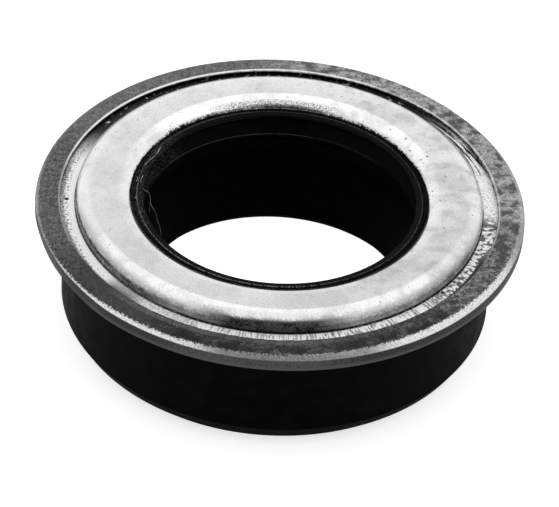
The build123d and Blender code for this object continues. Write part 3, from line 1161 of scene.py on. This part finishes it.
@dataclass
class SealBody:
    """The rubber moulding: sleeve, web, dust lip and rib, flexible section and main lip."""

    sizes: SealSizes
    finish: BlackRubber
    edge: float = 0.2 * MM  # radius of a small moulded edge
    nose: float = 0.1 * MM  # radius of a lip's edge
    case_edge: float = 0.3 * MM
    web_corner: float = 1.0 * MM
    foot_chamfer: float = 1.35 * MM
    lead_in_width: float = 1.15 * MM
    lead_in_height: float = 3.35 * MM
    sleeve_wall: float = 0.95 * MM
    case_sheet: float = 0.9 * MM
    lining_wall: float = 1.5 * MM
    web_thickness: float = 5.6 * MM
    collar_back: float = 22.6 * MM
    collar_top: float = 20.574 * MM
    cover_bore: float = 21.2 * MM
    cover_foot: float = 19.5 * MM
    cover_sheet: float = 0.8 * MM
    # straight end of the cover's turned edge
    edge_straight: float = 0.53 * MM
    # outwards and up from there to where the collar's top meets the sheet
    collar_meets: tuple[float, float] = (0.08 * MM, 0.125 * MM)
    # outwards, and down from the crest, to where the gutter meets the sheet
    gutter_meets: tuple[float, float] = (0.03 * MM, 0.14 * MM)
    crest: float = 20.5 * MM
    crest_top: float = 20.4 * MM
    gutter_depth: float = 0.4 * MM
    gutter_gap: float = 0.25 * MM
    dust_radius: float = 19.6 * MM
    dust_top: float = 20.3 * MM
    dust_land: float = 0.25 * MM
    rib_middle: float = 16.7 * MM
    rib_land: float = 0.4 * MM
    rib_slope: float = 1.6 * MM
    groove_radius: float = 20.9 * MM
    flex_root: float = 21.7 * MM
    flex_thickness: float = 1.9 * MM
    toe_radius: float = 20.55 * MM
    toe_height: float = 0.5 * MM
    bead_reach: float = 0.8 * MM
    bead_height: float = 1.35 * MM
    bead_slope: float = 1.0 * MM
    lip_height: float = 2.3 * MM
    lip_land: float = 0.6 * MM
    groove_clearance: float = 0.05 * MM
    groove_cuts: int = 18
    steps: int = 360

    @property
    def lip_foot(self) -> float:
        """Height of the dust lip's lower edge."""
        return self.dust_top - self.dust_land

    @property
    def rib_top(self) -> float:
        """Height of the rib's upper edge."""
        return self.rib_middle + self.rib_land / 2

    def sleeve(self) -> list[Corner]:
        """From the foot up the sleeve, and round the case's wall inside the rubber."""
        size = self.sizes
        foot = size.sleeve_radius - self.lead_in_width
        wall_outside = size.sleeve_radius - self.sleeve_wall
        wall_inside = wall_outside - self.case_sheet
        return [
            Corner(foot - self.foot_chamfer, 0.0, self.edge),
            Corner(foot, self.foot_chamfer, self.edge),
            Corner(size.sleeve_radius, self.lead_in_height, self.edge),
            Corner(size.sleeve_radius, size.seat_height),
            Corner(wall_outside, size.seat_height, self.sleeve_wall * 0.98, 6),
            Corner(wall_outside, size.wall_foot, self.case_edge),
            Corner(wall_inside, size.wall_foot, self.case_edge),
            Corner(wall_inside, size.brim_underside, self.sleeve_wall + self.case_sheet, 8),
        ]

    def collar(self) -> list[Corner]:
        """From the web's top up the collar, round the turned edge, and down the dust lip and the rib."""
        size = self.sizes
        rib_foot = self.rib_middle - self.rib_land / 2
        behind = self.cover_bore + self.cover_sheet
        turned = self.cover_foot + self.edge_straight
        return [
            Corner(self.collar_back, size.brim_underside, self.edge),
            Corner(self.collar_back, self.collar_top),
            Corner(behind + self.collar_meets[0], turned + self.collar_meets[1]),
            Corner(behind, turned),
            Corner(behind, self.cover_foot),
            Corner(self.cover_bore, self.cover_foot),
            Corner(self.cover_bore, turned),
            Corner(self.cover_bore + self.gutter_meets[0], self.crest_top - self.gutter_meets[1]),
            Corner(self.cover_bore - self.gutter_gap, self.crest_top - self.gutter_depth, self.edge),
            Corner(self.crest, self.crest_top, self.nose),
            Corner(self.dust_radius, self.dust_top, self.nose),
            Corner(self.dust_radius, self.lip_foot, self.nose),
            Corner(self.groove_radius, self.dust_top - self.rib_slope, self.edge),
            Corner(self.groove_radius, self.rib_top + self.rib_slope, self.edge),
            Corner(self.dust_radius, self.rib_top, self.nose),
            Corner(self.dust_radius, rib_foot, self.nose),
            Corner(self.groove_radius, rib_foot - self.rib_slope, self.edge),
        ]

    def lip(self) -> list[Corner]:
        """From the flexible section down to the main lip, round the beads, and up the lining."""
        size = self.sizes
        web = size.brim_underside - self.web_thickness
        spring_middle = (size.spring_foot + size.spring_top) / 2
        coil = (size.spring_top - size.spring_foot) / 2
        spring_radius = size.spring_outside - coil
        bead = spring_radius + self.bead_reach
        bead_top = 2 * spring_middle - self.bead_height
        lining = size.sleeve_radius - self.sleeve_wall - self.case_sheet - self.lining_wall
        flex_foot = size.lip_radius + (self.flex_root - size.lip_radius) * (bead_top + self.bead_slope) / web
        groove = coil + self.groove_clearance
        return [
            Corner(self.flex_root, web, self.edge),
            Corner(size.lip_radius, self.lip_height + self.lip_land / 2),
            Corner(size.lip_radius, self.lip_height - self.lip_land / 2),
            Corner(self.toe_radius, self.toe_height, self.edge),
            Corner(spring_radius, self.toe_height, self.edge),
            Corner(bead, self.bead_height, self.edge),
            *self.spring_groove(spring_radius, spring_middle, groove),
            Corner(bead, bead_top, self.edge),
            Corner(flex_foot + self.flex_thickness, bead_top + self.bead_slope, self.web_corner),
            Corner(self.flex_root + self.flex_thickness, web, self.web_corner, 6),
            Corner(lining, web, self.web_corner, 6),
            Corner(lining, 0.0, self.edge),
        ]

    def spring_groove(self, middle: float, height: float, groove: float) -> list[Corner]:
        """The groove round the spring, as an arc from one side of its mouth to the other.

        Args:
            middle: Radius of the coil's centre line.
            height: Height of the coil's centre line.
            groove: Radius of the groove.

        Returns:
            The corners of the arc, from the lower side of the mouth to the upper.
        """
        half = math.atan2(math.sqrt(groove**2 - self.bead_reach**2), self.bead_reach)
        cuts = self.groove_cuts
        turns = [-half - (math.tau - 2 * half) * cut / cuts for cut in range(cuts + 1)]
        return [Corner(middle + groove * math.cos(turn), height + groove * math.sin(turn)) for turn in turns]

    def build(self) -> None:
        """Turns the moulding and puts it in its place."""
        corners = self.sleeve() + self.collar() + self.lip()
        piece = TurnedSection("rubber_moulding", corners).turn(self.steps)
        lines = LipLines(self.crest, self.crest_top, self.lip_foot, self.rib_top)
        seat(piece, "seal_body", self.finish.material(lines))


@dataclass
class GarterSpring:
    """The closed coil behind the main lip."""

    sizes: SealSizes
    finish: SpringWire
    wire: float = 0.36 * MM
    sides: int = 6
    steps_in_turn: int = 12
    ring_steps: int = 96
    weld: float = 0.02 * MM  # distance under which the coil's ends are joined

    def build(self) -> None:
        """Winds a straight coil, closes it into a ring, and puts it in its place."""
        size = self.sizes
        coil = (size.spring_top - size.spring_foot) / 2
        ring = size.spring_outside - coil
        turns = int(math.tau * ring / self.wire)
        pitch = math.tau * ring / turns
        leave_nothing_selected()
        bpy.ops.mesh.primitive_circle_add(
            vertices=self.sides,
            radius=self.wire / 2,
            location=(coil - self.wire / 2, 0, 0),
            rotation=(math.pi / 2, 0, 0),
        )
        piece = bpy.context.object
        piece.name = "spring_coil"
        bpy.ops.object.transform_apply(location=True, rotation=True, scale=True)
        winding = piece.modifiers.new("winding", "SCREW")
        winding.axis = "Z"
        winding.angle = math.tau
        winding.screw_offset = pitch
        winding.iterations = turns
        winding.steps = self.steps_in_turn
        winding.render_steps = self.steps_in_turn
        winding.use_merge_vertices = False
        apply_modifier(piece, winding)
        self.close_ring(piece, ring)
        seat(piece, "garter_spring", self.finish.material())

    def close_ring(self, piece: Object, ring: float) -> None:
        """Bends the straight coil round a circle at the spring's height, and joins its ends."""
        leave_nothing_selected()
        height = (self.sizes.spring_foot + self.sizes.spring_top) / 2
        bpy.ops.curve.primitive_bezier_circle_add(radius=ring)
        circle = bpy.context.object
        circle.data.resolution_u = self.ring_steps
        bend = piece.modifiers.new("ring", "CURVE")
        bend.object = circle
        bend.deform_axis = "POS_Z"
        apply_modifier(piece, bend)
        bpy.data.objects.remove(circle)
        take_up(piece)
        with editing():
            bpy.ops.mesh.select_all(action="SELECT")
            bpy.ops.mesh.remove_doubles(threshold=self.weld)
            bpy.ops.transform.translate(value=(0, 0, height))
            bpy.ops.mesh.select_all(action="SELECT")
            bpy.ops.mesh.normals_make_consistent(inside=False)


@dataclass
class LintFibres:
    """The few pale fibres that stick to the left side of the bore."""

    finish: PaleLint
    # the fibres, each a list of bearing, radius in mm and height in mm
    paths: tuple[tuple[tuple[float, float, float], ...], ...] = (
        (
            (170.9, 20.1, 20.35), (176.3, 20.04, 20.35), (175.4, 19.52, 18.9), (169.5, 19.5, 17.2),
            (166.1, 19.5, 15.8), (164.4, 19.5, 14.1), (165.5, 19.5, 12.5),
        ),
        (
            (165.0, 19.5, 14.0), (161.5, 19.5, 12.2), (158.0, 19.5, 10.4), (156.0, 19.5, 8.4),
            (154.0, 19.5, 7.1), (152.0, 19.5, 4.8),
        ),
        ((150.2, 20.36, 20.44), (156.8, 20.04, 20.4), (160.3, 20.26, 20.43), (164.2, 20.48, 20.46)),
        ((185.6, 20.55, 20.46), (186.6, 20.65, 20.46), (187.0, 20.5, 20.46)),
        ((171.8, 20.9, 20.2), (173.4, 20.7, 20.3), (175.2, 20.75, 20.3)),
    )
    thickness: float = 0.035 * MM  # radius of a fibre

    def build(self) -> None:
        """Draws each fibre, gives it its thickness, and joins the fibres into one piece."""
        fibres = [self.spin_fibre(path) for path in self.paths]
        leave_nothing_selected()
        for fibre in fibres:
            fibre.select_set(True)
        bpy.context.view_layer.objects.active = fibres[0]
        bpy.ops.object.join()
        fibres[0].name = "lint_fibres"
        fibres[0].data.name = "lint_fibres"
        seat(fibres[0], "", self.finish.material())

    def spin_fibre(self, path: tuple[tuple[float, float, float], ...]) -> Object:
        """Makes one fibre.

        Args:
            path: The points that it passes.

        Returns:
            The fibre, as a mesh tube.
        """
        points = []
        for bearing, radius, height in path:
            turn = math.radians(bearing)
            points.append(Vector((radius * math.cos(turn), radius * math.sin(turn), height)) * MM)
        fibre = draw_wire("lint", points)
        take_up(fibre)
        bpy.ops.object.convert(target="CURVE")
        with editing():
            bpy.ops.curve.select_all(action="SELECT")
            bpy.ops.curve.spline_type_set(type="BEZIER")
            bpy.ops.curve.handle_type_set(type="AUTOMATIC")
        fibre.data.bevel_depth = self.thickness
        fibre.data.bevel_resolution = 1
        fibre.data.resolution_u = 8
        fibre.data.use_fill_caps = True
        bpy.ops.object.convert(target="MESH")
        return fibre


@dataclass
class Studio:
    """The white floor, the light tent and the camera."""

    softbox: float = 1.2  # brightness of the light above and in front of the seal
    sides: float = 1.0  # brightness of the walls
    wall: float = 0.83  # brightness of the darker panel behind the seal, seen in the flat metal
    wall_foot: float = 0.95  # brightness of that panel near the floor
    shade: float = 0.22  # brightness of the opening that the camera looks through
    floor: float = 0.7  # grey of the floor
    floor_glow: float = 0.66  # what the floor adds for the camera alone
    floor_size: float = 6.0
    # radii between which it falls to that from 1, which keeps the bore's inside plain white
    glow_radii: tuple[float, float] = (20.5 * MM, 24 * MM)
    wall_rises: tuple[float, float] = (28, 42)  # angles above the horizon between which the panel's foot fades
    softbox_rises: tuple[float, float] = (42, 49)  # angles between which the panel gives way to the softbox
    # angles beside the view between which the panel gives way to the walls
    panel_spread: tuple[float, float] = (14, 34)
    # angles round the camera between which the opening gives way to the tent
    shade_spread: tuple[float, float] = (10, 34)
    photo_width: float = 559.0  # width of the photograph in pixels
    focal_pixels: float = 3329.7  # focal length in its pixels
    sensor: float = 36.0
    distance: float = 0.490
    elevation: float = math.radians(39.549)  # angle of the camera above the horizon
    roll: float = math.radians(3.3016)  # turn of the camera about its line of sight
    aim: tuple[float, float, float] = (0.44 * MM, 0.0, 9.884 * MM)  # where the camera looks

    @property
    def camera_side(self) -> Vector:
        """The direction from the seal to the camera."""
        return Vector((0.0, -math.cos(self.elevation), math.sin(self.elevation)))

    def build(self) -> None:
        """Makes the floor, the light and the camera, and logs that they stand."""
        self.lay_floor()
        self.light_tent()
        self.place_camera()
        LOG.info("studio is ready")

    def lay_floor(self) -> None:
        """Lays a white floor that keeps the seal's shadow and glows only for the camera."""
        leave_nothing_selected()
        bpy.ops.mesh.primitive_plane_add(size=self.floor_size)
        floor = bpy.context.object
        floor.name = "floor"
        material = bpy.data.materials.new("floor")
        material.use_nodes = True
        nodes = Nodes(material.node_tree)
        shader = nodes.tree.nodes["Principled BSDF"]
        shader.inputs["Base Color"].default_value = (self.floor, self.floor, self.floor, 1)
        shader.inputs["Roughness"].default_value = 0.9
        shader.inputs["Specular IOR Level"].default_value = 0.0
        shader.inputs["Emission Color"].default_value = (1, 1, 1, 1)
        place = nodes.add("ShaderNodeTexCoord").outputs["Object"]
        away = nodes.vector("LENGTH", place).outputs["Value"]
        glow = nodes.step(away, *self.glow_radii, 1.0, self.floor_glow)
        seen = nodes.add("ShaderNodeLightPath").outputs["Is Camera Ray"]
        nodes.feed(shader.inputs["Emission Strength"], nodes.math("MULTIPLY", glow, seen))
        floor.data.materials.append(material)

    def light_tent(self) -> None:
        """Lights the seal with a white tent, and shows the camera plain white."""
        world = bpy.context.scene.world or bpy.data.worlds.new("tent")
        bpy.context.scene.world = world
        world.use_nodes = True
        nodes = Nodes(world.node_tree)
        nodes.tree.nodes.clear()
        sky = nodes.add("ShaderNodeTexCoord").outputs["Generated"]
        up = nodes.add("ShaderNodeSeparateXYZ", {"Vector": sky}).outputs["Z"]
        wall_low, wall_high, box_low, box_high = (
            math.sin(math.radians(rise)) for rise in self.wall_rises + self.softbox_rises
        )
        wall = nodes.step(up, wall_low, wall_high, self.wall_foot, self.wall)
        flat = nodes.vector("MULTIPLY", sky, (1, 1, 0)).outputs["Vector"]
        level = nodes.vector("NORMALIZE", flat).outputs["Vector"]
        wall = nodes.mix(nodes.cone(level, Vector((0, 1, 0)), *self.panel_spread), self.sides, wall)
        light = nodes.mix(nodes.step(up, box_low, box_high), wall, self.softbox)
        light = nodes.mix(nodes.cone(sky, self.camera_side, *self.shade_spread), light, self.shade)
        seen = nodes.add("ShaderNodeLightPath").outputs["Is Camera Ray"]
        background = nodes.add("ShaderNodeBackground", {"Color": nodes.mix(seen, light, 1.0)})
        output = nodes.add("ShaderNodeOutputWorld")
        nodes.feed(output.inputs["Surface"], background.outputs["Background"])

    def place_camera(self) -> None:
        """Stands the camera where the photograph was taken from."""
        leave_nothing_selected()
        bpy.ops.object.camera_add(location=self.camera_side * self.distance)
        camera = bpy.context.object
        camera.name = "photo_camera"
        camera.data.sensor_width = self.sensor
        camera.data.lens = self.focal_pixels * self.sensor / self.photo_width
        camera.data.clip_start = 10 * MM
        sight = Vector(self.aim) - camera.location
        camera.rotation_mode = "QUATERNION"
        camera.rotation_quaternion = sight.to_track_quat("-Z", "Y") @ Quaternion((0, 0, 1), self.roll)
        bpy.context.scene.camera = camera


def main() -> None:
    """Builds the seal and its studio, and reports each piece."""
    logging.basicConfig(level=logging.INFO, format="%(name)s: %(message)s")
    bpy.context.scene.view_settings.view_transform = "Standard"
    sizes = SealSizes.from_frame()
    Studio().build()
    case = OuterCase(sizes, DarkSteel())
    case.build()
    CoverRing(sizes, BrightSteel(), case.fold_edge).build()
    SealBody(sizes, BlackRubber()).build()
    GarterSpring(sizes, SpringWire()).build()
    LintFibres(PaleLint()).build()


if __name__ == "__main__":
    main()
